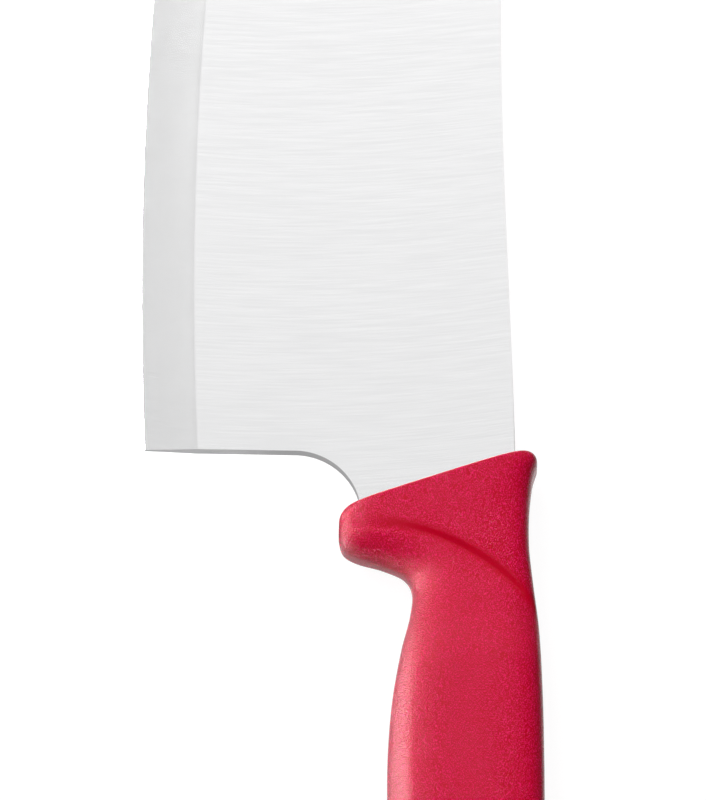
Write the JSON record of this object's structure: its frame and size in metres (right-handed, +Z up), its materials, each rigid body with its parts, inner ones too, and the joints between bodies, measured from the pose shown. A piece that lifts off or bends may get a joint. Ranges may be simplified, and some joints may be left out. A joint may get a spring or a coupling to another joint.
{
  "type": "cleaver",
  "caption": "Butcher's cleaver with a deep, hollow-ground steel blade and a moulded red plastic handle with a finger guard.",
  "frame": {"origin": "under the middle of the cleaver's box, at the height of the handle's lowest point as it lies on its side with the blade level", "axes": "+Y to the blade's tip, -X to the cutting edge, +X to the spine, +Z up through the thickness"},
  "size_m": [0.0964, 0.32, 0.025],
  "materials": {
    "blade_steel": "finely brushed across the blade, satin on the hollow bevel",
    "handle_plastic": "red polypropylene with a fine pebbled grain"
  },
  "bodies": {
    "root": {"blade": "blade_steel", "handle": "handle_plastic"}
  },
  "joints": []
}
